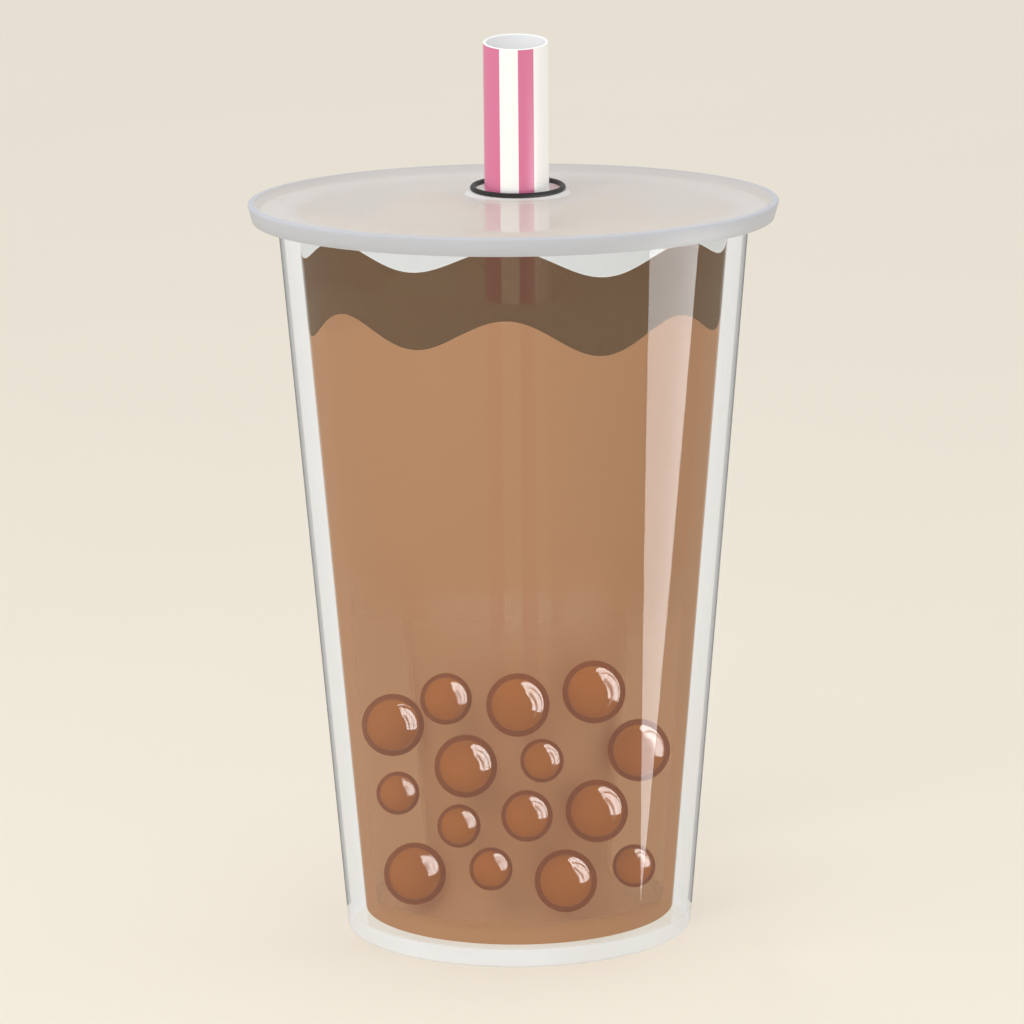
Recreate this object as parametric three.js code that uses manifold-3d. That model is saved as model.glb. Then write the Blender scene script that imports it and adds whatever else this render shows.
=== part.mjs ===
// Bubble tea: a thick-walled clear cup of milk tea with a wavy dark layer on top,
// a flat lid with a sealed straw hole, and a wide striped straw that leans to the front.
// Millimetres, Z up. The origin is the centre of the cup's foot and the front faces -Y.

import * as THREE from 'three';
import { mergeVertices } from 'three/addons/utils/BufferGeometryUtils.js';
import Module from 'manifold-3d';

const wasm = await Module();
wasm.setup();

// Clear space between neighbouring pieces, and the distance under which two corners are one
const FIT_GAP = 0.3;
const MERGE_DISTANCE = 1e-5;

// Cup: a straight cone, wider at the top, with one wall thickness all the way up
const FOOT_RADIUS = 32.5;
const WIDENING = 0.0819; // radius gained for each millimetre of height
const WALL = 3.75;
const FLOOR = 3.6;
const FOOT_ROUNDING = 0.8;
const RIM_HEIGHT = 2.0;
const RIM_ROUNDING = 0.7;
const CUP_SIDES = 84;

// Lid: a flat plate with a short skirt that narrows a little downwards
const LID_TOP = 138;
const LID_RADIUS = 49;
const LID_PLATE = 1.0;
const LID_ROUNDING = 0.4;
const SKIRT_HEIGHT = 3.4;
const SKIRT_NARROWING = 0.8;
const SKIRT_WALL = 0.9;
const LID_SIDES = 96;

// Straw hole, its low collar and the seal ring on it, all tipped a little to the front
const HOLE_X = 0.9;
const HOLE_Y = 7.5;
const HOLE_RADIUS = 7.95;
const COLLAR_RADIUS = 9.9;
const COLLAR_TOP_RADIUS = 9.3;
const COLLAR_FRONT_HEIGHT = 0.2;
const COLLAR_TIP = THREE.MathUtils.degToRad(3.5);
const COLLAR_DEPTH = 3; // how far the collar's blank reaches down before it is trimmed
const SEAL_RADIUS = 8.4;
const SEAL_THICKNESS = 0.6;
const SEAL_GAP = 0.2;
const SEAL_SIDES = 6;
const HOLE_SIDES = 40;

// Straw
const STRAW_RADIUS = 6;
const STRAW_WALL = 0.5;
const STRAW_LENGTH = 139;
const STRAW_ABOVE_LID = 29.2;
const STRAW_LEAN = THREE.MathUtils.degToRad(8);
const STRAW_X = 0.7; // where the axis crosses the lid's top
const STRAW_Y = 5.9;
const STRAW_SIDES = 40;

// Drink: the dark layer's two faces rise and fall round the wall and are flat in the middle
const DRINK_TOP = 131.7;
const DRINK_WAVE = 2.4;
const DARK_FOOT = 118;
const DARK_FOOT_WAVE = 3;
const WAVES_ROUND = 7;
const WAVE_TURN = THREE.MathUtils.degToRad(1.8);
const UNEVEN_SHARE = 0.3; // a slow rise and fall, as a share of the wave
const UNEVEN_ROUND = 3;
const UNEVEN_TURN = THREE.MathUtils.degToRad(16.5);
const SURFACE_SHARES = [0, 0.3, 0.6, 0.82, 1]; // rings of a face, as shares of its radius

// Finishes
const FINISHES = {
  cup: { color: 0xe6e8e8, roughness: 0.08, metalness: 0, transparent: true, opacity: 0.35 },
  lid: { color: 0xd9d4d0, roughness: 0.35, metalness: 0, transparent: true, opacity: 0.7 },
  seal: { color: 0x0b0a0a, roughness: 0.5, metalness: 0 },
  straw: { color: 0xe080a0, roughness: 0.3, metalness: 0 },
  milkTea: { color: 0xb18664, roughness: 0.25, metalness: 0 },
  darkLayer: { color: 0x735c46, roughness: 0.2, metalness: 0 },
};

const wallRadius = (height) => FOOT_RADIUS + WIDENING * height;
const innerRadius = (height) => wallRadius(height) - WALL;

// Points of an arc, for the rounded corners of an outline
function arc(centreRadius, centreHeight, radius, fromDegrees, toDegrees, steps = 2) {
  return Array.from({ length: steps + 1 }, (_, step) => {
    const angle = THREE.MathUtils.degToRad(fromDegrees + ((toDegrees - fromDegrees) * step) / steps);
    return [centreRadius + radius * Math.cos(angle), centreHeight + radius * Math.sin(angle)];
  });
}

// Turns an outline of [radius, height] points round the Z axis; angle 0 is the front
function revolve(outline, sides) {
  const points = outline.map(([radius, height]) => new THREE.Vector2(radius, height));
  return new THREE.LatheGeometry(points, sides).rotateX(Math.PI / 2);
}

// A closed solid from a geometry, without the flat triangles that a lathe leaves on its axis
function toSolid(geometry) {
  const bare = geometry.clone();
  bare.deleteAttribute('normal');
  bare.deleteAttribute('uv');
  const merged = mergeVertices(bare, MERGE_DISTANCE);
  const corners = merged.index.array;
  const triangles = [];
  for (let first = 0; first < corners.length; first += 3) {
    const triangle = corners.slice(first, first + 3);
    if (new Set(triangle).size === 3) triangles.push(...triangle);
  }
  return new wasm.Manifold(new wasm.Mesh({
    numProp: 3,
    vertProperties: new Float32Array(merged.attributes.position.array),
    triVerts: new Uint32Array(triangles),
  }));
}

function toGeometry(solid) {
  const { vertProperties, triVerts } = solid.getMesh();
  const geometry = new THREE.BufferGeometry();
  geometry.setAttribute('position', new THREE.BufferAttribute(new Float32Array(vertProperties), 3));
  geometry.setIndex(new THREE.BufferAttribute(new Uint32Array(triVerts), 1));
  geometry.computeVertexNormals();
  return geometry;
}

// The straw's axis leans to the front; heights along it are counted from the lid's top
function alongStraw(object) {
  object.position.set(STRAW_X, STRAW_Y, LID_TOP);
  object.rotation.x = STRAW_LEAN;
  return object;
}

// The hole's axis is tipped to the front; heights along it are counted from the collar's seat
function alongHole(object) {
  const seat = LID_TOP + COLLAR_FRONT_HEIGHT + SEAL_RADIUS * Math.tan(COLLAR_TIP);
  object.position.set(HOLE_X, HOLE_Y, seat);
  object.rotation.x = COLLAR_TIP;
  return object;
}

function placedSolid(outline, sides, place) {
  const blank = place(new THREE.Object3D());
  blank.updateMatrix();
  return toSolid(revolve(outline, sides).applyMatrix4(blank.matrix));
}

function cup() {
  const rimTop = LID_TOP - LID_PLATE - FIT_GAP;
  const rimFoot = rimTop - RIM_HEIGHT;
  const rimRadius = LID_RADIUS - SKIRT_NARROWING - SKIRT_WALL - FIT_GAP;
  const rounded = rimRadius - RIM_ROUNDING;
  return revolve([
    [0, 0],
    ...arc(FOOT_RADIUS - FOOT_ROUNDING, FOOT_ROUNDING, FOOT_ROUNDING, -90, 0),
    [wallRadius(rimFoot), rimFoot],
    ...arc(rounded, rimFoot + RIM_ROUNDING, RIM_ROUNDING, -90, 0),
    ...arc(rounded, rimTop - RIM_ROUNDING, RIM_ROUNDING, 0, 90),
    ...arc(innerRadius(rimTop) + RIM_ROUNDING, rimTop - RIM_ROUNDING, RIM_ROUNDING, 90, 180),
    [innerRadius(FLOOR), FLOOR],
    [0, FLOOR],
  ], CUP_SIDES);
}

function lid() {
  const underside = LID_TOP - LID_PLATE;
  const skirtFoot = LID_TOP - SKIRT_HEIGHT;
  const footRadius = LID_RADIUS - SKIRT_NARROWING;
  const cap = revolve([
    [0, underside],
    [LID_RADIUS - SKIRT_WALL, underside],
    [footRadius - SKIRT_WALL, skirtFoot],
    [footRadius, skirtFoot],
    ...arc(LID_RADIUS - LID_ROUNDING, LID_TOP - LID_ROUNDING, LID_ROUNDING, 0, 90),
    [0, LID_TOP],
  ], LID_SIDES);

  const collarBlank = placedSolid([
    [0, -COLLAR_DEPTH],
    [COLLAR_RADIUS, -COLLAR_DEPTH],
    [COLLAR_RADIUS, -COLLAR_FRONT_HEIGHT],
    [COLLAR_TOP_RADIUS, 0],
    [0, 0],
  ], HOLE_SIDES, alongHole);
  const abovePlate = toSolid(revolve([
    [0, underside],
    [LID_RADIUS / 2, underside],
    [LID_RADIUS / 2, LID_TOP + COLLAR_DEPTH],
    [0, LID_TOP + COLLAR_DEPTH],
  ], LID_SIDES));
  const hole = placedSolid([
    [0, -2 * COLLAR_DEPTH],
    [HOLE_RADIUS, -2 * COLLAR_DEPTH],
    [HOLE_RADIUS, COLLAR_DEPTH],
    [0, COLLAR_DEPTH],
  ], HOLE_SIDES, alongHole);

  const collar = collarBlank.intersect(abovePlate);
  return toGeometry(toSolid(cap).add(collar).subtract(hole));
}

function sealRing() {
  const half = SEAL_THICKNESS / 2;
  return revolve(arc(SEAL_RADIUS, SEAL_GAP + half, half, -180, 180, SEAL_SIDES), HOLE_SIDES);
}

function straw() {
  const top = STRAW_ABOVE_LID;
  const foot = STRAW_ABOVE_LID - STRAW_LENGTH;
  const bore = STRAW_RADIUS - STRAW_WALL;
  return revolve([
    [bore, foot],
    [STRAW_RADIUS, foot],
    [STRAW_RADIUS, top],
    [bore, top],
    [bore, foot],
  ], STRAW_SIDES);
}

// Height of a face of the drink; share is the distance from the axis, 1 at the wall
function waveHeight(share, angle, level, wave) {
  const waves = Math.cos(WAVES_ROUND * (angle + WAVE_TURN));
  const uneven = UNEVEN_SHARE * Math.cos(UNEVEN_ROUND * (angle + UNEVEN_TURN));
  return level + wave * share * share * (waves + uneven);
}

// A filling of the cup between two faces, each a function of (share, angle)
function filling(lowerFace, upperFace) {
  const rings = [
    ...SURFACE_SHARES.map((share) => ({ share, face: lowerFace })),
    ...SURFACE_SHARES.map((share) => ({ share, face: upperFace })).reverse(),
  ];
  const outline = rings.map(({ share, face }) => new THREE.Vector2(share, face(share, 0)));
  const geometry = new THREE.LatheGeometry(outline, CUP_SIDES);
  const position = geometry.attributes.position;
  for (let index = 0; index < position.count; index += 1) {
    const { share, face } = rings[index % rings.length];
    const side = Math.floor(index / rings.length) % CUP_SIDES;
    const angle = (side / CUP_SIDES) * 2 * Math.PI;
    const height = face(share, angle);
    const radius = share * (innerRadius(height) - FIT_GAP);
    position.setXYZ(index, radius * Math.sin(angle), -radius * Math.cos(angle), height);
  }
  return toSolid(geometry);
}

// The space that the straw's wall takes in the drink, a gap wider on both sides
function strawRoom() {
  const outer = STRAW_RADIUS + FIT_GAP;
  const inner = STRAW_RADIUS - STRAW_WALL - FIT_GAP;
  const foot = STRAW_ABOVE_LID - STRAW_LENGTH - FIT_GAP;
  return placedSolid([
    [inner, foot],
    [outer, foot],
    [outer, 0],
    [inner, 0],
    [inner, foot],
  ], STRAW_SIDES, alongStraw);
}

// What the straw and its bore take out of a layer
function strawCore(extra) {
  const radius = STRAW_RADIUS + extra;
  return placedSolid([
    [0, -STRAW_LENGTH],
    [radius, -STRAW_LENGTH],
    [radius, 0],
    [0, 0],
  ], STRAW_SIDES, alongStraw);
}

const flatFloor = () => FLOOR + FIT_GAP;
const flatTop = () => DRINK_TOP;
const darkFoot = (share, angle) => waveHeight(share, angle, DARK_FOOT, DARK_FOOT_WAVE);
const darkTop = (share, angle) => waveHeight(share, angle, DRINK_TOP, DRINK_WAVE);

// Milk tea up to the dark layer, with the column that stands in the straw
function milkTea() {
  const body = filling(flatFloor, (share, angle) => darkFoot(share, angle) - FIT_GAP);
  const column = filling(flatFloor, flatTop).intersect(strawCore(-STRAW_WALL - FIT_GAP));
  return toGeometry(body.subtract(strawRoom()).add(column));
}

function darkLayer() {
  return toGeometry(filling(darkFoot, darkTop).subtract(strawCore(FIT_GAP)));
}

function piece(name, geometry, finish) {
  const mesh = new THREE.Mesh(geometry, new THREE.MeshStandardMaterial(finish));
  mesh.name = name;
  return mesh;
}

const group = new THREE.Group();
group.add(
  piece('cup', cup(), FINISHES.cup),
  piece('milk_tea', milkTea(), FINISHES.milkTea),
  piece('dark_layer', darkLayer(), FINISHES.darkLayer),
  piece('lid', lid(), FINISHES.lid),
  alongHole(piece('straw_seal', sealRing(), FINISHES.seal)),
  alongStraw(piece('straw', straw(), FINISHES.straw)),
);

export default group;
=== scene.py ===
"""Bubble tea in a thick clear cup: milk tea with pearls under a wavy dark layer, a flat frosted
lid with a sealed straw hole, and a wide striped straw that leans to the front. The CAD frame is
in metres with Z up, the front faces -Y, and the cup stands on the floor at the origin."""

import math
import random

import bmesh
import bpy
from bpy.props import (BoolProperty, FloatProperty, FloatVectorProperty, IntProperty,
                       PointerProperty)
from mathutils import Matrix, Vector


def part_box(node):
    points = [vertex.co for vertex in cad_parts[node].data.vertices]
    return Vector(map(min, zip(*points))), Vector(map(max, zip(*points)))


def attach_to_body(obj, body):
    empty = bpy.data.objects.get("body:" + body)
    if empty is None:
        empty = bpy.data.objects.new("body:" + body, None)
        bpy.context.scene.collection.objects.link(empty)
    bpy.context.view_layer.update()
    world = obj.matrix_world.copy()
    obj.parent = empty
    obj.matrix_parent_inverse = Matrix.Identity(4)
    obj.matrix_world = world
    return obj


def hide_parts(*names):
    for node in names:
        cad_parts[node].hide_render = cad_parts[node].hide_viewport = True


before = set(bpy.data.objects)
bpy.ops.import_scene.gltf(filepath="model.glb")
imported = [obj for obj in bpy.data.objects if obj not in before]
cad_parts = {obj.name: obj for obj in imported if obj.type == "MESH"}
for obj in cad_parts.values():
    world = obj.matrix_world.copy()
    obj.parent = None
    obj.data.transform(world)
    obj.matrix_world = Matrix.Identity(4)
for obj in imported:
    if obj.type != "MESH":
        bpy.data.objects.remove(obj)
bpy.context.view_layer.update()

bl_info = {
    "name": "Bubble Tea",
    "version": (1, 0, 0),
    "blender": (4, 5, 0),
    "location": "View3D > Sidebar > Bubble Tea",
    "description": "Makes a cup of bubble tea with its lid, straw, drink and pearls",
    "category": "Object",
}

MM = 0.001
BODY = "root"
CUP_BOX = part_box("cup")
# The plate's top: 1 mm of plate, 0.3 mm above the cup. The lid's own box reaches up to its collar
LID_TOP = CUP_BOX[1].z + (1 + 0.3) * MM
# Faces that meet at more degrees than this keep a hard edge between them
HARD_EDGE = 35
CAMERA_PLACE = Vector((0, -0.935, 0.2716))
# Its turn to the left, its dip and its roll, in degrees
CAMERA_TURN, CAMERA_DIP, CAMERA_ROLL = 0.045, 11.64, -0.52
CAMERA_LENS, CAMERA_SENSOR = 179.54, 36


# Settings

def number(name, value, description, **kind):
    return FloatProperty(name=name, description=description, default=value, **kind)


def length(name, millimetres, description):
    return number(name, millimetres * MM, description, precision=5, subtype="DISTANCE",
                  unit="LENGTH")


def angle(name, degrees, description):
    return number(name, math.radians(degrees), description, subtype="ANGLE", unit="ROTATION")


def share(name, value, description):
    return number(name, value, description, min=0, max=1, subtype="FACTOR")


def count(name, value, description, lowest=1):
    return IntProperty(name=name, description=description, default=value, min=lowest)


def colour(name, red, green, blue, description):
    """A colour setting whose default is given in display values from 0 to 255."""
    def linear(value):
        value /= 255
        return value / 12.92 if value <= 0.04045 else ((value + 0.055) / 1.055) ** 2.4
    return FloatVectorProperty(name=name, description=description, size=3, min=0, max=1,
                               default=[linear(value) for value in (red, green, blue)],
                               subtype="COLOR")


class CupSettings(bpy.types.PropertyGroup):
    foot_radius: length("Foot radius", 32.5, "Outer radius at the floor")
    widening: number("Widening", 0.0819, "Radius gained for each unit of height")
    wall: length("Wall", 3.75, "Thickness, measured level")
    floor: length("Floor", 3.6, "Thickness of the bottom")
    foot_rounding: length("Foot rounding", 0.8, "Radius of its lower edge")
    rim_height: length("Rim height", 2, "Height of the rim")
    rim_radius: length("Rim radius", 47, "Outer radius of the rim")
    rim_rounding: length("Rim rounding", 0.7, "Radius of the rim's edges")
    sides: count("Sides", 192, "Faces round the cup and the drink", 24)
    plastic: colour("Milky plastic", 240, 245, 250, "Colour where it looks milky")
    haze: share("Haze", 0.012, "How milky one face is, seen straight on")
    edge_haze: share("Edge haze", 0.5, "How milky it is, seen along the wall")
    base_haze: share("Base haze", 0.66, "How milky the thick bottom is")
    mist: share("Mist", 0.86, "How much the mist above the drink hides")
    mist_tint: colour("Mist colour", 208, 212, 215, "Colour of the mist above the drink")


class LidSettings(bpy.types.PropertyGroup):
    radius: length("Radius", 49, "Outer radius")
    plate: length("Plate", 1, "Thickness of the plate")
    rounding: length("Rounding", 0.4, "Radius of its upper edge")
    skirt_height: length("Skirt height", 3.4, "Height of the lid at its rim")
    skirt_narrowing: length("Skirt narrowing", 0.8, "Radius lost from its top to its foot")
    skirt_wall: length("Skirt wall", 0.9, "Thickness of the skirt")
    hole_x: length("Hole X", 0.9, "Straw hole, to the right")
    hole_y: length("Hole Y", 7.5, "Straw hole, to the back")
    hole_radius: length("Hole radius", 7.95, "Radius of the hole")
    collar_radius: length("Collar radius", 9.9, "Radius of the collar's foot")
    collar_top_radius: length("Collar top radius", 9.3, "Radius of its upper edge")
    collar_height: length("Collar height", 0.3, "Height at the front")
    collar_tip: angle("Collar tip", 3.5, "How far it tips to the front")
    seal_radius: length("Seal radius", 8.4, "Radius of its middle line")
    seal_tube: length("Seal tube", 0.5, "Radius of its round section")
    seal_lift: length("Seal lift", 0.45, "Height of its middle line")
    frost: colour("Frosted plastic", 209, 200, 191, "Colour of the plate")
    # Painted shade: the skirt is tinted a darker, cooler grey than the plate
    skirt: colour("Skirt plastic", 193, 195, 201, "Colour of the skirt")
    # Painted highlight: the collar is tinted a paler grey than the plate
    collar: colour("Collar plastic", 222, 221, 220, "Colour of the collar")
    cover: share("Cover", 0.46, "How much one face of the plate hides")
    skirt_cover: share("Skirt cover", 0.92, "How much one face of the skirt hides")
    rubber: colour("Rubber", 22, 20, 20, "Colour of the seal")


class StrawSettings(bpy.types.PropertyGroup):
    radius: length("Radius", 6, "Outer radius")
    wall: length("Wall", 0.5, "Thickness of the wall")
    full_length: length("Length", 139, "Length from end to end")
    above_lid: length("Above the lid", 29.2, "Length above the lid")
    lean: angle("Lean", 8, "How far it leans to the front")
    place_x: length("Place X", 0.7, "On the lid's top, to the right")
    place_y: length("Place Y", 5.9, "On the lid's top, to the back")
    sides: count("Sides", 120, "Faces round the straw", 20)
    stripes: count("Stripes", 2, "Pairs of a broad and a narrow one")
    stripe_turn: angle("Stripe turn", -91.3, "Where a broad stripe starts, from the front")
    broad: share("Broad stripe", 0.337, "Width, as a share of a pair")
    narrow_start: share("Narrow start", 0.526, "Where it starts in a pair")
    narrow_end: share("Narrow end", 0.687, "Where it ends in a pair")
    pink: colour("Pink", 218, 118, 157, "Colour of the stripes")
    white: colour("White", 253, 252, 251, "Colour between the stripes and inside")


class DrinkSettings(bpy.types.PropertyGroup):
    top: length("Top", 131.7, "Height of the drink in the middle")
    top_wave: length("Top wave", 2.4, "Height of its waves at the wall")
    dark_foot: length("Dark foot", 118, "Height of the dark layer's foot in the middle")
    foot_wave: length("Foot wave", 3, "Height of the foot's waves")
    waves_round: count("Waves", 7, "Waves round the cup")
    wave_turn: angle("Wave turn", 1.8, "How far the waves are turned")
    uneven_share: share("Unevenness", 0.3, "A slow rise and fall, as a share of the wave")
    uneven_round: count("Slow waves", 3, "Slow rises round the cup")
    uneven_turn: angle("Slow wave turn", 16.5, "How far the slow rises are turned")
    pearl_depth: length("Pearl depth", 12, "How far one sees into the tea")
    core_bend: length("Core bend", 9, "Radius of the inner tea's lower edge")
    clear_top: length("Clear top", 58, "Height where the tea starts to thicken")
    thick_foot: length("Thick foot", 73, "Height where it is thick right at the wall")
    core_top: length("Core top", 90, "Height of the tea behind the pearls")
    skin_cover: share("Skin cover", 0.18, "How much the tea in front of the pearls hides")
    core_cover: share("Core cover", 0.9, "How much thick tea hides")
    # Painted light: the tea's far side is brightened by this factor
    far_side_painted_light: number("Far glow", 1.1, "Brightness of the tea's far side")
    pale_glow: colour("Pale glow", 236, 233, 230, "Light seen through thick tea")
    dark_cover: share("Dark cover", 0.8, "How much the dark layer hides")
    milk_tea: colour("Milk tea", 176, 131, 95, "Colour of the tea")
    dark: colour("Dark tea", 93, 61, 37, "Colour of the dark layer")
    dark_clear: colour("Clear dark tea", 165, 148, 122, "Tint of what shows through it")
    dark_far: colour("Dark far side", 216, 217, 199, "Light at the layer's far side")
    froth: colour("Froth", 226, 216, 203, "Colour of the froth on top")


class PearlSettings(bpy.types.PropertyGroup):
    big: length("Big", 5.8, "Radius of a big pearl")
    medium: length("Medium", 4.75, "Radius of a middling pearl")
    small: length("Small", 4, "Radius of a small pearl")
    gap: length("Gap", 0.3, "Least space round a pearl")
    heart: share("Heart", 0.82, "Radius, as a share of the pearl's")
    unevenness: length("Unevenness", 0.06, "How uneven a pearl's surface is")
    detail: count("Detail", 4, "Times that the ball's faces are divided")
    others: count("Others", 34, "Most pearls besides those at the front", 0)
    tries: count("Tries", 9000, "Places tried for the other pearls")
    seed: count("Seed", 11, "Draws the places of the other pearls", 0)
    shine: share("Shine", 0.02, "How much of the light a wet pearl mirrors")
    jelly: colour("Jelly", 113, 46, 14, "Colour of the outer skin")
    core: colour("Heart colour", 156, 82, 5, "Colour of the heart")


class StageSettings(bpy.types.PropertyGroup):
    floor: colour("Floor", 236, 226, 209, "Colour of the floor")
    sky: number("Sky", 0.96, "Brightness of the room")
    key: number("Key light", 2.9, "Power of the large lamp, watts")
    strip: number("Strip", 9.9, "Brightness of the tall panel")
    pearl_light: number("Pearl light", 8.8, "Power of the pearls' lamp, watts")
    edge_cards: BoolProperty(name="Edge cards", default=True,
                             description="Dark cards for the clear wall's edges")


class BubbleTeaSettings(bpy.types.PropertyGroup):
    cup: PointerProperty(type=CupSettings, name="Cup")
    lid: PointerProperty(type=LidSettings, name="Lid")
    straw: PointerProperty(type=StrawSettings, name="Straw")
    drink: PointerProperty(type=DrinkSettings, name="Drink")
    pearls: PointerProperty(type=PearlSettings, name="Pearls")
    stage: PointerProperty(type=StageSettings, name="Stage")


# Node trees

class Socket:
    """A node's output that Python's operators work on; each operator adds a Math node."""

    def __init__(self, tree, output):
        self.tree, self.output = tree, output

    def math(self, operation, *values):
        return self.tree.node("ShaderNodeMath", {"operation": operation},
                              dict(enumerate(values)))

    def __add__(self, other):
        return self.math("ADD", self, other)

    def __sub__(self, other):
        return self.math("SUBTRACT", self, other)

    def __rsub__(self, other):
        return self.math("SUBTRACT", other, self)

    def __mul__(self, other):
        return self.math("MULTIPLY", self, other)

    def __truediv__(self, other):
        return self.math("DIVIDE", self, other)

    def __rtruediv__(self, other):
        return self.math("DIVIDE", other, self)

    def __lt__(self, other):
        return self.math("LESS_THAN", self, other)

    def __gt__(self, other):
        return self.math("GREATER_THAN", self, other)

    __radd__ = __add__
    __rmul__ = __mul__


class Tree:
    """Adds nodes to a node tree."""

    def __init__(self, nodes_and_links):
        self.tree = nodes_and_links

    def node(self, kind, settings=None, inputs=None, output=0):
        made = self.tree.nodes.new(kind)
        for name, value in (settings or {}).items():
            setattr(made, name, value)
        for name, value in (inputs or {}).items():
            if isinstance(value, Socket):
                self.tree.links.new(value.output, made.inputs[name])
            else:
                made.inputs[name].default_value = value
        return Socket(self, made.outputs[output]) if made.outputs else None


def length_of(x, y):
    """The length of a level line."""
    return x.math("SQRT", x * x + y * y)


def rgba(tint, brightness=1.0):
    return (*(min(1.0, part * brightness) for part in tint), 1.0)


class Finish(Tree):
    """The node tree of a new material, with the patterns that its surfaces share."""

    def __init__(self, name):
        self.material = bpy.data.materials.new(name)
        self.material.use_nodes = True
        self.material.node_tree.nodes.clear()
        super().__init__(self.material.node_tree)
        self.place = self.node("ShaderNodeTexCoord", output=3)

    def split(self, vector):
        parts = self.node("ShaderNodeSeparateXYZ", inputs={0: vector}).output.node
        return [Socket(self, output) for output in parts.outputs]

    def noise(self, scale, detail, stretch=None):
        place = self.place
        if stretch:
            place = self.node("ShaderNodeMapping", inputs={"Vector": place, "Scale": stretch})
        return self.node("ShaderNodeTexNoise", inputs={
            "Vector": place, "Scale": scale, "Detail": detail})

    def step(self, value, low, high):
        """0 below low, 1 above high, and smooth between."""
        return self.node("ShaderNodeMapRange", {"interpolation_type": "SMOOTHSTEP"},
                         {0: value, 1: low, 2: high, 3: 0.0, 4: 1.0})

    def mix(self, amount, first, second):
        """A colour between two colours."""
        return self.node("ShaderNodeMix", {"data_type": "RGBA"},
                         {0: amount, 6: first, 7: second}, output=2)

    def shades(self, tint, pattern, darker=0.985, lighter=1.015):
        """The tint, a little darker and lighter after a pattern from 0 to 1."""
        return self.mix(self.step(pattern, 0.3, 0.7), rgba(tint, darker), rgba(tint, lighter))

    def bump(self, height, distance, strength):
        return self.node("ShaderNodeBump", inputs={
            "Strength": strength, "Distance": distance, "Height": height})

    def facing(self, **normal):
        """The cosine between the view and the surface."""
        return 1 - self.node("ShaderNodeLayerWeight", inputs={"Blend": 0.5, **normal}, output=1)

    def facing_level(self, widening):
        """The same with the view turned level, for a wall that widens upwards that much."""
        up = self.node("ShaderNodeCombineXYZ", inputs={0: 0.0, 1: 0.0, 2: 1.0})
        steep = self.facing(Normal=up)
        along = steep.math("SQRT", 1.0001 - steep * steep)
        return (self.facing() + steep * widening) / along

    def front(self):
        """1 where the surface faces outwards, as seen."""
        return 1 - self.node("ShaderNodeNewGeometry", output=6)

    def pearls_here(self, drink, z):
        """1 as high as the pearls reach, and 0 where the tea is thick right at the wall."""
        return 1 - self.step(z, drink.clear_top, drink.thick_foot)

    def layer(self, amount, below, above):
        return self.node("ShaderNodeMixShader", inputs={0: amount, 1: below, 2: above})

    def clear(self, tint=(1, 1, 1)):
        return self.node("ShaderNodeBsdfTransparent", inputs={"Color": rgba(tint)})

    def matt(self, tint):
        return self.plastic(Base_Color=tint, Roughness=1.0, Specular_IOR_Level=0.0)

    def tea(self, tint, *brightness):
        """Cloudy tea with faint swirls."""
        return self.matt(self.shades(tint, self.noise(38, 3, (1, 1, 0.45)), *brightness))

    def gloss(self, roughness, **inputs):
        return self.node("ShaderNodeBsdfGlossy", inputs={"Roughness": roughness, **inputs})

    def plastic(self, **inputs):
        return self.node("ShaderNodeBsdfPrincipled", inputs={
            name.replace("_", " "): value for name, value in inputs.items()})

    def done(self, surface):
        self.node("ShaderNodeOutputMaterial", inputs={"Surface": surface})
        return self.material


# Meshes

def arc(centre_radius, centre_height, radius, start, end, steps):
    """Points of an outline's rounded corner, from start to end degrees."""
    turns = [math.radians(start + (end - start) * step / steps) for step in range(steps + 1)]
    return [(centre_radius + radius * math.cos(turn), centre_height + radius * math.sin(turn))
            for turn in turns]


def between(first, second, steps):
    """Points strictly between two points of an outline."""
    return [tuple(a + (b - a) * step / steps for a, b in zip(first, second))
            for step in range(1, steps)]


def around(turn, radius, height=0.0, centre=(0, 0)):
    """A point round an upright axis, turned from the front towards the right."""
    return Vector((centre[0] + radius * math.sin(turn), centre[1] - radius * math.cos(turn),
                   height))


def ring(radius, height, sides, centre=(0, 0), place=None):
    """Points all round an upright axis, or one point at radius 0."""
    points = [around(math.tau * side / sides, radius, height, centre)
              for side in range(sides if radius > 0 else 1)]
    return [place @ point for point in points] if place else points


def new_object(name, data):
    made = bpy.data.objects.new(name, data)
    bpy.context.scene.collection.objects.link(made)
    return made


def as_piece(name, rings, material, loop=False, levels=None):
    """A smooth object with its surface through a row of rings, and the way round and the level
    as UV."""
    shape = bmesh.new()
    layer = shape.loops.layers.uv.verify()
    rows = [[shape.verts.new(point) for point in points] for points in rings]
    pairs = list(zip(rows, rows[1:]))
    if loop:
        pairs.append((rows[-1], rows[0]))
    levels = levels or [row / len(pairs) for row in range(len(pairs) + 1)]
    for row, (low, high) in enumerate(pairs):
        sides = max(len(low), len(high))
        for side in range(sides):
            corners = {}
            for points, column, level in ((low, side, row), (low, side + 1, row),
                                          (high, side + 1, row + 1), (high, side, row + 1)):
                corners.setdefault(points[column % len(points)], (column / sides, levels[level]))
            face = shape.faces.new(list(corners))
            for corner, place in zip(face.loops, corners.values()):
                corner[layer].uv = place
    bmesh.ops.recalc_face_normals(shape, faces=shape.faces)
    mesh = bpy.data.meshes.new(name)
    shape.to_mesh(mesh)
    shape.free()
    mesh.shade_smooth()
    mesh.set_sharp_from_angle(angle=math.radians(HARD_EDGE))
    mesh.materials.append(material)
    return new_object(name, mesh)


def revolved(name, outline, sides, material, place=None, loop=False, levels=None):
    """A piece turned from an outline of radii and heights."""
    rings = [ring(radius, height, sides, place=place) for radius, height in outline]
    return as_piece(name, rings, material, loop, levels)


def attach(piece, node=None):
    """The piece moves with the object and may stand for a node, whose CAD part it hides."""
    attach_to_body(piece, BODY)
    if node:
        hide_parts(node)


def hide(piece, *rays):
    """Hides a piece from some kinds of ray."""
    for ray in rays:
        setattr(piece, "visible_" + ray, False)


def see_through(piece):
    """Light from the lamps and the room reaches what is behind the piece."""
    hide(piece, "shadow", "diffuse", "glossy")


# Shapes that several pieces share

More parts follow.
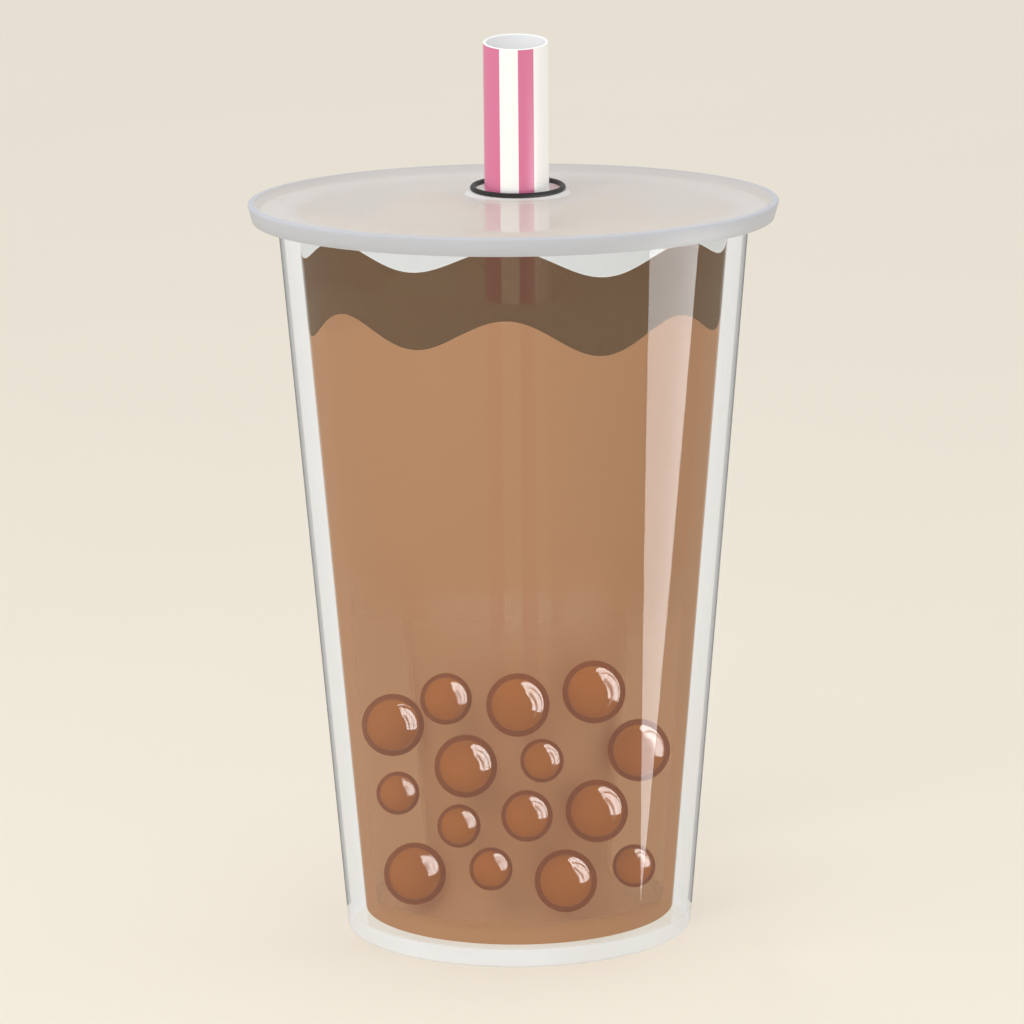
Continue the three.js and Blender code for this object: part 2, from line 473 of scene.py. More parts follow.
def inner_radius(cup, height):
    return cup.foot_radius + cup.widening * height - cup.wall


def wave(drink, out, turn, level, rise):
    """Height of a face of the drink; out is the distance from the axis, 1 at the wall."""
    waves = math.cos(drink.waves_round * (turn + drink.wave_turn))
    uneven = drink.uneven_share * math.cos(drink.uneven_round * (turn + drink.uneven_turn))
    return level + rise * out * out * (waves + uneven)


def wave_at_wall(finish, drink, level, rise):
    """The same height at the wall, as nodes."""
    x, y, _ = finish.split(finish.place)
    turn = x.math("ARCTAN2", x, y * -1)
    waves = turn.math("COSINE", (turn + drink.wave_turn) * drink.waves_round)
    uneven = turn.math("COSINE", (turn + drink.uneven_turn) * drink.uneven_round)
    return (waves + uneven * drink.uneven_share) * rise + level


def straw_place(straw):
    return (Matrix.Translation((straw.place_x, straw.place_y, LID_TOP))
            @ Matrix.Rotation(straw.lean, 4, "X"))


def hole_place(lid):
    """The hole's own frame, tipped to the front; its seat is the collar's top in the CAD."""
    seat = LID_TOP + 0.2 * MM + lid.seal_radius * math.tan(lid.collar_tip)
    return (Matrix.Translation((lid.hole_x, lid.hole_y, seat))
            @ Matrix.Rotation(lid.collar_tip, 4, "X"))


# Cup

def clear_plastic(settings):
    """Clear, faintly milky plastic: milky where one looks along the wall, and misty above the
    drink. The faces that the drink wets mirror nothing."""
    cup, drink = settings.cup, settings.drink
    finish = Finish("clear_plastic")
    x, y, z = finish.split(finish.place)
    middle = z * cup.widening + (cup.foot_radius - cup.wall / 2)
    inside = length_of(x, y) < middle
    line = wave_at_wall(finish, drink, drink.top, drink.top_wave)
    drops = finish.noise(900, 3)
    mist = finish.step(z + drops * (0.4 * MM), line, line + 0.5 * MM) * inside
    mist = mist * (0.94 + drops * 0.12) * cup.mist
    base = (1 - finish.step(z, cup.floor - 0.2 * MM, cup.floor + 0.5 * MM)) * (1 - inside)
    base = x.math("MAXIMUM", base * cup.base_haze, (z < 0.05 * MM) * 0.95)
    radius = z * cup.widening + cup.foot_radius
    sight = (radius - cup.wall) / radius
    edge_cosine = z.math("SQRT", 1 - sight * sight)
    facing = finish.facing_level(cup.widening)
    edge = (1 - finish.step(facing, edge_cosine - 0.005, edge_cosine + 0.035)) * (1 - inside)
    clouds = finish.noise(60, 3)
    milky = x.math("MAXIMUM", edge * cup.edge_haze, base)
    milky = milky * (0.94 + clouds * 0.12)
    milky = x.math("MAXIMUM", milky, x.math("MAXIMUM", mist, cup.haze))
    tint = finish.mix(mist, finish.shades(cup.plastic, clouds, 0.985, 1.01), rgba(cup.mist_tint))
    ripples = finish.bump(finish.noise(45, 1, (1, 1, 0.25)), 0.05 * MM, 0.15)
    body = finish.layer(milky, finish.clear((0.985, 0.99, 0.99)), finish.matt(tint))
    wet = inside * (z < line) * (z > cup.floor - 0.2 * MM)
    mirror = finish.node("ShaderNodeFresnel", inputs={"IOR": 1.4, "Normal": ripples})
    return finish.done(finish.layer(mirror * finish.front() * (1 - wet), body,
                                    finish.gloss(0.03, Normal=ripples)))


def make_cup(settings):
    cup = settings.cup
    rim_top = CUP_BOX[1].z
    rim_foot = rim_top - cup.rim_height
    round_radius = cup.rim_radius - cup.rim_rounding
    low = cup.rim_rounding
    foot = arc(cup.foot_radius - cup.foot_rounding, cup.foot_rounding, cup.foot_rounding,
               -90, 0, 8)
    wall_top = (cup.foot_radius + cup.widening * rim_foot, rim_foot)
    inner_top = inner_radius(cup, rim_top)
    inner_floor = inner_radius(cup, cup.floor)
    brim = arc(inner_top + low, rim_top - low, low, 90, 180, 6)
    corner = 0.5 * MM
    floor_corner = arc(inner_floor - corner, cup.floor + corner, corner, 0, -90, 5)
    outline = [
        (0, 0), (cup.foot_radius * 0.5, 0), *foot,
        *between(foot[-1], wall_top, 30), wall_top,
        *arc(round_radius, rim_foot + low, low, -90, 0, 6),
        *arc(round_radius, rim_top - low, low, 0, 90, 6),
        *brim, *between(brim[-1], floor_corner[0], 30), *floor_corner,
        (inner_floor * 0.5, cup.floor), (0, cup.floor),
    ]
    piece = revolved("cup_wall", outline, cup.sides, clear_plastic(settings))
    see_through(piece)
    attach(piece, "cup")


# Drink

SURFACE_SHARES = (0, 0.12, 0.25, 0.4, 0.52, 0.64, 0.74, 0.83, 0.9, 0.96, 1)


def drink_face(settings, level, rise=0, lift=0.0, grow=0.05 * MM, outwards=True,
               shares=SURFACE_SHARES):
    """Rings of a face of the drink, from the middle to the wall or back."""
    rings, sides = [], settings.cup.sides
    for out in shares if outwards else reversed(shares):
        points = []
        for side in range(sides if out else 1):
            turn = math.tau * side / sides
            height = wave(settings.drink, out, turn, level, rise) + lift
            points.append(around(turn, out * (inner_radius(settings.cup, height) + grow), height))
        rings.append(points)
    return rings


def drink_body(name, lower, upper, steps, material):
    """A see-through body of drink between the rings of its lower and its upper face."""
    wall = [[low.lerp(high, step / steps) for low, high in zip(lower[-1], upper[0])]
            for step in range(1, steps)]
    piece = as_piece(name, [*lower, *wall, *upper], material)
    see_through(piece)
    return piece


def tea_skin(settings):
    """Milk tea at the wall: one sees the pearls through it, but it is thick further up, at the
    floor and where the view runs along the wall. Light glows through its far side, which is
    brightened with painted light where the pearls are, is near-white painted light higher up
    where the tea is thick, and is darkened with painted shade on the floor."""
    drink, foot = settings.drink, settings.cup.floor
    finish = Finish("milk_tea_skin")
    z = finish.split(finish.place)[2]
    body = finish.tea(drink.milk_tea)
    sight = finish.step(finish.facing_level(settings.cup.widening), 0.355, 0.435)
    window = finish.step(z, foot + 3.2 * MM, foot + 4.8 * MM)
    pearls_here = finish.pearls_here(drink, z)
    thin = finish.layer(1 - sight * (1 - drink.skin_cover), finish.clear(), body)
    thick = finish.layer(1 - sight * (1 - drink.core_cover), finish.clear(drink.milk_tea), body)
    low = finish.layer(finish.step(z, foot + 2 * MM, foot + 3.2 * MM), body, thick)
    near_side = finish.layer(window * pearls_here, low, thin)
    # Painted light: the far side is a brightened tea where the pearls are and a near-white tea
    # higher up
    pale, brown = [finish.node("ShaderNodeBsdfTranslucent", inputs={"Color": tint})
                   for tint in (rgba(drink.pale_glow), rgba(drink.milk_tea, drink.far_side_painted_light))]
    through = finish.layer(pearls_here, pale, brown)
    # Painted shade: the far side on the floor is a darker tea
    far_side = finish.layer(z < foot + 0.2 * MM, through, finish.tea(drink.milk_tea, 0.84, 0.87))
    return finish.done(finish.layer(finish.front(), far_side, near_side))


def thick_tea(drink):
    """The tea behind the pearls, with a soft edge. Further up it thins out as the tea at the
    wall thickens, so that the straw shows equally faintly all the way down. Its far side is
    near-white painted light where it is seen straight on above its foot."""
    finish = Finish("milk_tea_core")
    z = finish.split(finish.place)[2]
    thick, thin = 1 - drink.core_cover, 1 - drink.skin_cover
    pearls_here = finish.pearls_here(drink, z + 2.5 * MM)
    cover = 1 - 0.9 * thick / (pearls_here * (thin - thick) + thick)
    cover = cover * (1 - finish.step(z, drink.core_top - 8 * MM, drink.core_top))
    brown, pale = finish.tea(drink.milk_tea), finish.tea(drink.pale_glow, 0.98, 1.0)
    tinted = finish.layer(pearls_here, finish.clear(), finish.clear(drink.milk_tea))
    near_side = finish.layer(cover, tinted, brown)
    facing = finish.facing()
    above_foot = finish.step(z, drink.core_bend * 2, drink.core_bend * 3)
    # Painted light: the far side turns near-white where it is seen straight on
    far_side = finish.layer(finish.step(facing, 0.45, 0.8) * above_foot, brown, pale)
    far_side = finish.layer(cover, finish.clear(), far_side)
    body = finish.layer(finish.front(), far_side, near_side)
    return finish.done(finish.layer(finish.step(facing, 0.04, 0.5), finish.clear(), body))


def tea_round_straw(settings):
    """The tea between the straw and the wall, which hides more of the straw the deeper it is."""
    drink, cup = settings.drink, settings.cup
    finish = Finish("milk_tea_round_straw")
    x, y, z = finish.split(finish.place)
    depth = z * cup.widening + (cup.foot_radius - cup.wall) - length_of(x, y)
    cover = 0.3 + finish.step(depth, 2 * MM, drink.pearl_depth) * 0.65
    cover = cover * (1 - finish.step(depth, drink.pearl_depth, drink.pearl_depth + 4 * MM))
    return finish.done(finish.layer(cover * finish.front(), finish.clear(),
                                    finish.tea(drink.milk_tea)))


def make_milk_tea(settings):
    drink, floor = settings.drink, settings.cup.floor
    depth, bend = drink.pearl_depth, drink.core_bend
    bottom = drink_face(settings, floor - 0.05 * MM)
    top = drink_face(settings, drink.dark_foot, drink.foot_wave, lift=-0.12 * MM, outwards=False)
    body = drink_body("milk_tea_body", bottom, top, 40, tea_skin(settings))
    attach(body, "milk_tea")

    foot = floor + 0.5 * MM
    bottom = drink_face(settings, foot, grow=bend - depth)
    bend_rings = 10
    for step in range(1, bend_rings + 1):
        turn = math.pi / 2 * step / bend_rings
        bottom += drink_face(settings, foot + bend * (1 - math.cos(turn)), shares=(1,),
                             grow=bend - depth - bend * math.sin(turn))
    top = drink_face(settings, drink.core_top, grow=-depth, outwards=False)
    core = drink_body("milk_tea_core", bottom, top, 40, thick_tea(drink))
    attach(core)

    straw = settings.straw
    end = straw.above_lid - straw.full_length
    surface = (drink.top - LID_TOP) / math.cos(straw.lean)
    bore = straw.radius - straw.wall - 0.05 * MM
    outline = [(0, end), (bore, end), *between((bore, end), (bore, surface), 12),
               (bore, surface), (0, surface)]
    column = revolved("milk_tea_in_straw", outline, 48, tea_in_straw(drink), straw_place(straw))
    attach(column)
    radius, low = straw.radius + 0.15 * MM, end - 0.15 * MM
    high = (drink.thick_foot - LID_TOP) / math.cos(straw.lean)
    outline = [(0, low), *between((0, low), (radius, low), 3), (radius, low),
               *between((radius, low), (radius, high), 24), (radius, high)]
    sleeve = revolved("milk_tea_round_straw", outline, 96, tea_round_straw(settings),
                      straw_place(straw))
    see_through(sleeve)
    attach(sleeve)


def tea_in_straw(drink):
    finish = Finish("milk_tea_in_straw")
    return finish.done(finish.tea(drink.milk_tea))


def dark_tea(drink):
    """Dark tea that lets a little light through, so that the straw shows faintly, with a thin
    pale froth on its top. Its far side is a pale painted light."""
    finish = Finish("dark_tea")
    swirls = finish.noise(55, 4, (1, 1, 0.6))
    body = finish.layer(drink.dark_cover, finish.clear(drink.dark_clear),
                        finish.matt(finish.shades(drink.dark, swirls)))
    up = finish.split(finish.node("ShaderNodeNewGeometry", output=1))[2]
    bubbles = finish.noise(700, 3)
    froth = finish.matt(finish.shades(drink.froth, bubbles, 0.95, 1.03))
    body = finish.layer(finish.step(up, 0.75, 0.9) * (0.9 + bubbles * 0.08), body, froth)
    # Painted light: the far side is a pale, nearly white colour
    far_side = finish.matt(finish.shades(drink.dark_far, swirls, 0.98, 1.02))
    return finish.done(finish.layer(finish.front(), far_side, body))


def make_dark_layer(settings):
    drink, grow = settings.drink, 0.08 * MM
    foot = drink_face(settings, drink.dark_foot, drink.foot_wave, lift=-0.05 * MM, grow=grow)
    top = drink_face(settings, drink.top, drink.top_wave, grow=grow, outwards=False)
    piece = drink_body("dark_layer_body", foot, top, 8, dark_tea(drink))
    attach(piece, "dark_layer")


# Pearls

# The pearls at the front: degrees round from the front to the right, and height in mm
FRONT_PEARLS = {
    "big": ((-63.4, 41.1), (0.1, 48.4), (31.7, 49.8), (-22.1, 36.2), (61.6, 36.0), (35.7, 26.5),
            (-55.3, 12.9), (21.3, 13.7)),
    "medium": ((-28.3, 49.1), (3.4, 27.2)),
    "small": ((9.1, 38.0), (-56.8, 28.8), (-24.6, 24.9), (-11.6, 17.0), (56.9, 14.2)),
}
# The others stand further round than this many degrees, and no higher than this
OTHERS_FROM, OTHERS_TOP = 66, 53 * MM


def pearl_centre(settings, degrees, height, radius):
    """The place of a pearl that lies against the cup's wall."""
    out = inner_radius(settings.cup, height) - radius - settings.pearls.gap
    return around(math.radians(degrees), out, height)


def seen_place(point):
    """Where a point appears from the camera, on the upright plane through the cup's axis."""
    nearness = -CAMERA_PLACE.y / (point.y - CAMERA_PLACE.y)
    return Vector((point.x * nearness,
                   CAMERA_PLACE.z + (point.z - CAMERA_PLACE.z) * nearness))


def peeps_out(settings, centre, radius, front):
    """True if a pearl further round would show from the front beside those at the front."""
    middle = seen_place(centre)
    inner = inner_radius(settings.cup, centre.z)
    # Nearer the middle the tea behind the front pearls hides it, and nearer the edge the wall
    shown_from, shown_to = inner - settings.drink.pearl_depth - 2 * MM, inner * 0.93
    spots_round = 24
    for step in range(spots_round):
        turn = math.tau * step / spots_round
        for part in (0.5, 1.0):
            spot = middle + Vector((math.cos(turn), math.sin(turn))) * radius * part
            if shown_from < abs(spot.x) < shown_to and all(
                    (spot - seen_place(other)).length > 0.97 * size for other, size in front):
                return True
    return False


def pearl_places(settings):
    """Centre and radius of each pearl: those at the front, then others drawn round the back."""
    pearls = settings.pearls
    front = [(pearl_centre(settings, degrees, height * MM, getattr(pearls, size)),
              getattr(pearls, size))
             for size, spots in FRONT_PEARLS.items() for degrees, height in spots]
    places = list(front)
    draw = random.Random(pearls.seed)
    radii = (pearls.big, pearls.big, pearls.medium, pearls.small)
    for _ in range(pearls.tries):
        radius = draw.choice(radii)
        lowest = settings.cup.floor + radius + pearls.gap
        degrees = draw.uniform(OTHERS_FROM, 360 - OTHERS_FROM)
        centre = pearl_centre(settings, degrees, draw.uniform(lowest, OTHERS_TOP), radius)
        clear = all((centre - other).length > radius + size + 2 * pearls.gap
                    for other, size in places)
        if clear and not peeps_out(settings, centre, radius, front):
            places.append((centre, radius))
        if len(places) == len(front) + pearls.others:
            break
    return places


def pearl_tree():
    """Geometry nodes that put an uneven ball on each point, as large as the point says."""
    group = bpy.data.node_groups.new("Pearls on points", "GeometryNodeTree")
    face = group.interface
    face.new_socket("Geometry", in_out="INPUT", socket_type="NodeSocketGeometry")
    for name, kind in (("Share", "Float"), ("Detail", "Int"), ("Unevenness", "Float"),
                       ("Seed", "Int"), ("Material", "Material")):
        face.new_socket(name, in_out="INPUT", socket_type="NodeSocket" + kind)
    face.new_socket("Geometry", in_out="OUTPUT", socket_type="NodeSocketGeometry")
    tree = Tree(group)
    given = group.nodes.new("NodeGroupInput")
    points, size_share, detail, unevenness, seed, material = [
        Socket(tree, given.outputs[index]) for index in range(6)]
    ball = tree.node("GeometryNodeMeshIcoSphere", inputs={"Radius": 1.0, "Subdivisions": detail})
    radius = tree.node("GeometryNodeInputNamedAttribute", {"data_type": "FLOAT"},
                       {"Name": "pearl_radius"})
    most_turn = (6.28,) * 3
    turn = tree.node("FunctionNodeRandomValue", {"data_type": "FLOAT_VECTOR"},
                     {0: (0.0,) * 3, 1: most_turn, "Seed": seed})
    placed = tree.node("GeometryNodeInstanceOnPoints", inputs={
        "Points": points, "Instance": ball, "Rotation": turn, "Scale": radius * size_share})
    whole = tree.node("GeometryNodeRealizeInstances", inputs={0: placed})
    lumps = tree.node("ShaderNodeTexNoise", {"noise_dimensions": "4D"},
                      {"W": seed * 1.7, "Scale": 130.0, "Detail": 1.0})
    normal = tree.node("GeometryNodeInputNormal")
    shift = tree.node("ShaderNodeVectorMath", {"operation": "SCALE"},
                      {0: normal, "Scale": (lumps - 0.5) * unevenness * 2})
    uneven = tree.node("GeometryNodeSetPosition", inputs={"Geometry": whole, "Offset": shift})
    smooth = tree.node("GeometryNodeSetShadeSmooth", inputs={"Geometry": uneven})
    painted = tree.node("GeometryNodeSetMaterial", inputs={
        "Geometry": smooth, "Material": material})
    tree.node("NodeGroupOutput", inputs={0: painted})
    return group


def grow_pearls(pearls, name, tree, places, size_share, material):
    """Runs the pearl tree on the places and returns the result as a plain mesh object."""
    inputs = {"Share": size_share, "Detail": pearls.detail, "Unevenness": pearls.unevenness,
              "Seed": pearls.seed, "Material": material}
    mesh = bpy.data.meshes.new(name + "_points")
    mesh.from_pydata([centre for centre, _ in places], [], [])
    sizes = mesh.attributes.new("pearl_radius", "FLOAT", "POINT")
    sizes.data.foreach_set("value", [radius for _, radius in places])
    points = new_object(name + "_points", mesh)
    modifier = points.modifiers.new("Pearls", "NODES")
    modifier.node_group = tree
    for socket in tree.interface.items_tree:
        if socket.in_out == "INPUT" and socket.name in inputs:
            modifier[socket.identifier] = inputs[socket.name]
    evaluated = points.evaluated_get(bpy.context.evaluated_depsgraph_get())
    result = bpy.data.meshes.new_from_object(evaluated)
    bpy.data.objects.remove(points)
    if not result.polygons:
        raise RuntimeError("the pearl tree made no pearls")
    result.name = name
    return new_object(name, result)


def pearl_jelly(pearls):
    """The clear outer skin of a pearl, which looks dense where the view misses the heart."""
    finish = Finish("pearl_jelly")
    specks = finish.noise(420, 3)
    rim_cosine = math.sqrt(1 - pearls.heart ** 2)
    along = 1 - finish.step(finish.facing(), rim_cosine - 0.03, rim_cosine + 0.02)
    cover = (0.06 + along * 0.9) * finish.front()
    return finish.done(finish.layer(cover, finish.clear(),
                                    finish.matt(finish.shades(pearls.jelly, specks, 0.96, 1.03))))


def pearl_heart(pearls):
    """The dark chewy heart of a pearl, with a wet shine."""
    finish = Finish("pearl_heart")
    specks = finish.noise(520, 4)
    spots = finish.noise(90, 1)
    tint = finish.mix(finish.step(spots, 0.35, 0.65) * 0.35,
                      finish.shades(pearls.core, specks, 0.97, 1.03), rgba(pearls.core, 0.88))
    skin = finish.bump(specks, 0.02 * MM, 0.06)
    return finish.done(finish.layer(pearls.shine, finish.matt(tint),
                                    finish.gloss(0.06, Normal=skin)))


def make_pearls(settings):
    pearls = settings.pearls
    places, tree = pearl_places(settings), pearl_tree()
    shells = grow_pearls(pearls, "pearl_shells", tree, places, 1.0, pearl_jelly(pearls))
    see_through(shells)
    attach(shells)
    hearts = grow_pearls(pearls, "pearl_hearts", tree, places, pearls.heart, pearl_heart(pearls))
    # The pearls mirror the lamp alone and not each other, so their crescents stay whole
    hide(hearts, "glossy")
    attach(hearts)


# Lid and seal

def frosted_plastic(lid):
    """Frosted plastic with a fine grain; the skirt is denser than the plate and is painted a
    darker, cooler grey as painted shade, and the collar round the hole is painted a paler grey
    as a painted highlight.
    """
    finish = Finish("frosted_plastic")
    x, y, _ = finish.split(finish.place)
    grain, clouds = finish.noise(1400, 2), finish.noise(30, 3)
    skirt = finish.step(length_of(x, y), lid.radius - 1.3 * MM, lid.radius - 0.9 * MM)
    from_hole = length_of(x - lid.hole_x, y - lid.hole_y)
    collar = 1 - finish.step(from_hole, lid.collar_radius - 0.1 * MM, lid.collar_radius + 0.2 * MM)
    cover = lid.cover + skirt * (lid.skirt_cover - lid.cover) + collar * 0.25
    cover = cover * (0.97 + clouds * 0.06)
    # Painted shade: the skirt takes the darker grey
    tint = finish.mix(skirt, finish.shades(lid.frost, clouds), finish.shades(lid.skirt, clouds))
    # Painted highlight: the collar round the hole takes the paler grey, and hides more
    tint = finish.mix(collar, tint, rgba(lid.collar))
    skin = finish.bump(grain, 0.03 * MM, 0.35)
    body = finish.plastic(Base_Color=tint, Roughness=0.5 + grain * 0.1, Normal=skin, IOR=1.49,
                          Specular_IOR_Level=0.3)
    return finish.done(finish.layer(cover, finish.clear((0.97, 0.96, 0.95)), body))


def black_rubber(lid):
    finish = Finish("black_rubber")
    grain = finish.noise(2600, 3)
    tint = finish.shades(lid.rubber, grain, 0.8, 1.3)
    return finish.done(finish.plastic(Base_Color=tint, Roughness=0.5 + grain * 0.15, IOR=1.5,
                                      Normal=finish.bump(grain, 0.04 * MM, 0.5)))


def make_lid(settings):
    lid, sides = settings.lid, settings.cup.sides
    place = hole_place(lid)
    under, foot = LID_TOP - lid.plate, LID_TOP - lid.skirt_height
    foot_radius = lid.radius - lid.skirt_narrowing
    hole = Vector((lid.hole_x, lid.hole_y))
    hole_centred, lid_centred = 12 * MM, 26 * MM
    bevel, edge = 0.12 * MM, 0.1 * MM
    collar_top = lid.collar_height - 0.2 * MM

    def level(radius, height):
        """A level ring, centred on the hole near it and on the lid's axis further out."""
        near = min(1.0, max(0.0, (lid_centred - radius) / (lid_centred - hole_centred)))
        return ring(radius, height, sides, hole * near)

    def tipped(radius, height):
        return ring(radius, height, sides, place=place)

    rings = [
        level(lid.hole_radius, under),
        *[level(radius * MM, under) for radius in (10.5, 14, 20, 28, 38)],
        level(lid.radius - lid.skirt_wall, under),
        level(foot_radius - lid.skirt_wall, foot + edge),
        level(foot_radius - lid.skirt_wall + edge, foot),
        level(foot_radius - edge, foot), level(foot_radius, foot + edge),
        *[level(radius, height) for radius, height in
          arc(lid.radius - lid.rounding, LID_TOP - lid.rounding, lid.rounding, 0, 90, 6)],
        *[level(radius * MM, LID_TOP) for radius in (47, 38, 28, 20, 14, 11.2)],
        level(lid.collar_radius, LID_TOP),
        tipped(lid.collar_top_radius + bevel, collar_top - bevel),
        tipped(lid.collar_top_radius, collar_top),
        tipped(lid.hole_radius + bevel, collar_top), tipped(lid.hole_radius, collar_top - bevel),
    ]
    piece = as_piece("lid_body", rings, frosted_plastic(lid), loop=True)
    see_through(piece)
    attach(piece, "lid")


def make_seal(settings):
    lid = settings.lid
    section = arc(lid.seal_radius, lid.seal_lift, lid.seal_tube, -180, 180, 16)[:-1]
    piece = revolved("seal_ring", section, 120, black_rubber(lid), hole_place(lid), loop=True)
    attach(piece, "straw_seal")


# Straw

def striped_plastic(straw):
    """White plastic with coloured stripes along it on the outside only."""
    finish = Finish("striped_plastic")
    finish.place = finish.node("ShaderNodeTexCoord", output=2)
    round_straw, level, _ = finish.split(finish.place)
    turned = round_straw - straw.stripe_turn / math.tau
    across = (turned + 1.0) * straw.stripes
    across = across.math("FRACT", across)

    def band(start, end, edge=0.003):
        return finish.step(across, start, start + edge) * (1 - finish.step(across, end, end + edge))

    stripe = band(0, straw.broad) + band(straw.narrow_start, straw.narrow_end)
    stripe = stripe * (level < 1.0001)
    lines = finish.noise(1.0, 2.0, (220.0, 2.0, 1.0))
    pink = finish.shades(straw.pink, lines, 0.975, 1.02)
    white = finish.shades(straw.white, lines, 0.985, 1.0)
    return finish.done(finish.plastic(
        Base_Color=finish.mix(stripe, white, pink), Roughness=0.3 + lines * 0.12, IOR=1.46,
        Normal=finish.bump(lines, 0.03 * MM, 0.2)))


def make_straw(settings):
    straw = settings.straw
    top, foot = straw.above_lid, straw.above_lid - straw.full_length
    bore, lip = straw.radius - straw.wall, 0.12 * MM
    outer = [(straw.radius, foot + lip), *between((straw.radius, foot), (straw.radius, top), 24),
             (straw.radius, top - lip)]
    inner = [(bore, top - lip), *between((bore, top), (bore, foot), 24), (bore, foot + lip)]
    outline = [*outer, (straw.radius - lip, top), (bore + lip, top),
               *inner, (bore + lip, foot), (straw.radius - lip, foot)]
    levels = [row / (len(outer) - 1) for row in range(len(outer))]
    levels += [1.1 + row / 100 for row in range(len(outline) + 1 - len(outer))]
    piece = revolved("straw_body", outline, straw.sides, striped_plastic(straw),
                     straw_place(straw), loop=True, levels=levels)
    attach(piece, "straw")


# Stage

def glow(name, tint, strength):
    finish = Finish(name)
    return finish.done(finish.node("ShaderNodeEmission", inputs={
        "Color": rgba(tint), "Strength": strength}))


def sheet(name, corners, material):
    mesh = bpy.data.meshes.new(name)
    mesh.from_pydata(corners, [], [(0, 1, 2, 3)])
    mesh.materials.append(material)
    return new_object(name, mesh)


def card(name, corners, material):
    """A card that only shiny surfaces mirror, with its corners in millimetres."""
    piece = sheet(name, [Vector(corner) * MM for corner in corners], material)
    hide(piece, "camera", "diffuse", "transmission", "volume_scatter", "shadow")


def pale_floor(stage):
    finish = Finish("pale_floor")
    grain = finish.noise(6, 3)
    tint = finish.shades(stage.floor, grain, 0.995, 1.005)
    return finish.done(finish.plastic(Base_Color=tint, Roughness=0.85 + grain * 0.1))


def lamp(name, place, target, size, power):
    light = bpy.data.lights.new(name, "AREA")
    light.size, light.energy = size, power
    made = new_object(name, light)
    made.location = place
    made.rotation_euler = (Vector(target) - Vector(place)).to_track_quat("-Z", "Y").to_euler()
    return made


def make_stage(settings):
    stage = settings.stage
    floor = sheet("floor", [(-6, -3, 0), (6, -3, 0), (6, 9, 0), (-6, 9, 0)], pale_floor(stage))

    world = bpy.data.worlds.new("room")
    world.use_nodes = True
    background = world.node_tree.nodes["Background"]
    background.inputs["Color"].default_value = (0.96, 0.98, 1, 1)
    background.inputs["Strength"].default_value = stage.sky
    bpy.context.scene.world = world

    key = lamp("key_light", (-0.4, -0.72, 0.8), (0, 0, 0.07), 0.5, stage.key)
    hide(key, "glossy")

    # Dark cards close behind, left and right, that draw the clear wall's edges
    if stage.edge_cards:
        for side, word in ((-1, "left"), (1, "right")):
            card("edge_card_" + word,
                 [(side * 33.2, 9, 0.3), (side * 40, 7, 0.3), (side * 51, 7, 132),
                  (side * 43.5, 9, 132)], glow("card_" + word, (0.02, 0.02, 0.02), 1))

    # A tall lamp on the right, for the bright crescents on the pearls alone
    turn = math.radians(118)
    target = around(turn + math.pi / 2, -30 * MM, 140 * MM)
    place = target + around(turn, 90 * MM)
    shine = lamp("pearl_lamp", place, target, 250 * MM, stage.pearl_light)
    shine.data.shape, shine.data.size_y = "RECTANGLE", 270 * MM
    hide(shine, "camera", "diffuse", "transmission")
    for role, mate in (("receiver", "pearl_hearts"), ("blocker", "floor")):
        group = bpy.data.collections.new("pearl_lamp_" + role)
        group.objects.link(bpy.data.objects[mate])
        setattr(shine.light_linking, role + "_collection", group)

    # The tall panel on the right, narrow at its foot, that the cup mirrors as a bright band
    card("tall_panel", [(46.2, -25.4, 0.6), (46.2, -25.2, 0.6), (71, -19, 125), (70.6, -53, 123)],
         glow("panel_glow", (1, 1, 1), stage.strip))

    camera = bpy.data.cameras.new("camera")
    camera.lens, camera.sensor_width = CAMERA_LENS, CAMERA_SENSOR
    view = new_object("camera", camera)
    view.matrix_world = (Matrix.Translation(CAMERA_PLACE)
                         @ Matrix.Rotation(math.radians(CAMERA_TURN), 4, "Z")
                         @ Matrix.Rotation(math.radians(90 - CAMERA_DIP), 4, "X")
                         @ Matrix.Rotation(math.radians(CAMERA_ROLL), 4, "Z"))
    scene = bpy.context.scene
    scene.camera = view
    scene.view_settings.view_transform = "Standard"
    scene.cycles.transparent_max_bounces = 32


# Operators and panel

class BUBBLETEA_OT_cup(bpy.types.Operator):
    """Makes the clear cup"""
    bl_idname = "bubble_tea.cup"
    bl_label = "Cup"

    def execute(self, context):
        make_cup(context.scene.bubble_tea)
        return {"FINISHED"}


class BUBBLETEA_OT_drink(bpy.types.Operator):
    """Makes the milk tea and the dark layer on it"""
    bl_idname = "bubble_tea.drink"
    bl_label = "Drink"

    def execute(self, context):
        make_milk_tea(context.scene.bubble_tea)
        make_dark_layer(context.scene.bubble_tea)
        return {"FINISHED"}


class BUBBLETEA_OT_pearls(bpy.types.Operator):
    """Makes the pearls in the milk tea"""
    bl_idname = "bubble_tea.pearls"
    bl_label = "Pearls"

    def execute(self, context):
        make_pearls(context.scene.bubble_tea)
        return {"FINISHED"}


class BUBBLETEA_OT_lid(bpy.types.Operator):
    """Makes the lid and the seal round its straw hole"""
    bl_idname = "bubble_tea.lid"
    bl_label = "Lid and seal"

    def execute(self, context):
        make_lid(context.scene.bubble_tea)
        make_seal(context.scene.bubble_tea)
        return {"FINISHED"}


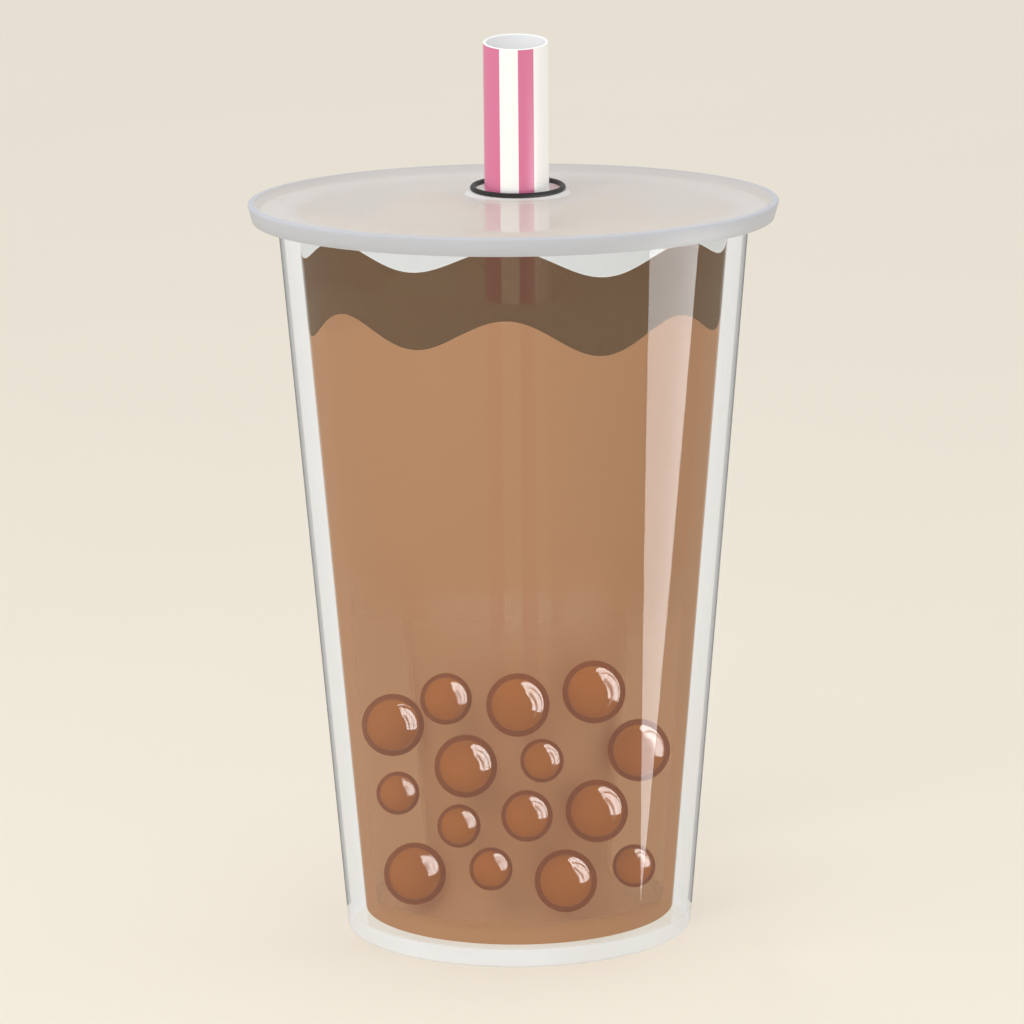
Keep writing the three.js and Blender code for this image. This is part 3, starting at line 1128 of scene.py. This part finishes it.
class BUBBLETEA_OT_straw(bpy.types.Operator):
    """Makes the striped straw"""
    bl_idname = "bubble_tea.straw"
    bl_label = "Straw"

    def execute(self, context):
        make_straw(context.scene.bubble_tea)
        return {"FINISHED"}


class BUBBLETEA_OT_stage(bpy.types.Operator):
    """Makes the floor, the lights and the camera"""
    bl_idname = "bubble_tea.stage"
    bl_label = "Stage"

    def execute(self, context):
        make_stage(context.scene.bubble_tea)
        return {"FINISHED"}


OPERATORS = (BUBBLETEA_OT_cup, BUBBLETEA_OT_drink, BUBBLETEA_OT_pearls, BUBBLETEA_OT_lid,
             BUBBLETEA_OT_straw, BUBBLETEA_OT_stage)
GROUPS = {"cup": CupSettings, "lid": LidSettings, "straw": StrawSettings, "drink": DrinkSettings,
          "pearls": PearlSettings, "stage": StageSettings}


class BUBBLETEA_PT_panel(bpy.types.Panel):
    """Lists the settings of each part and the buttons that make them"""
    bl_idname = "BUBBLETEA_PT_panel"
    bl_label = "Bubble Tea"
    bl_space_type = "VIEW_3D"
    bl_region_type = "UI"
    bl_category = "Bubble Tea"

    def draw(self, context):
        settings = context.scene.bubble_tea
        for name, group in GROUPS.items():
            box = self.layout.box()
            box.label(text=name.capitalize())
            for setting in group.__annotations__:
                box.prop(getattr(settings, name), setting)
        for operator in OPERATORS:
            self.layout.operator(operator.bl_idname)


CLASSES = (*GROUPS.values(), BubbleTeaSettings, *OPERATORS, BUBBLETEA_PT_panel)
for operator in OPERATORS:
    operator.bl_options = {"REGISTER", "UNDO"}


def register():
    for made in CLASSES:
        bpy.utils.register_class(made)
    bpy.types.Scene.bubble_tea = PointerProperty(type=BubbleTeaSettings)


def unregister():
    del bpy.types.Scene.bubble_tea
    for made in reversed(CLASSES):
        bpy.utils.unregister_class(made)


def main():
    register()
    bpy.ops.bubble_tea.cup()
    bpy.ops.bubble_tea.drink()
    bpy.ops.bubble_tea.pearls()
    bpy.ops.bubble_tea.lid()
    bpy.ops.bubble_tea.straw()
    bpy.ops.bubble_tea.stage()


if __name__ == "__main__":
    main()
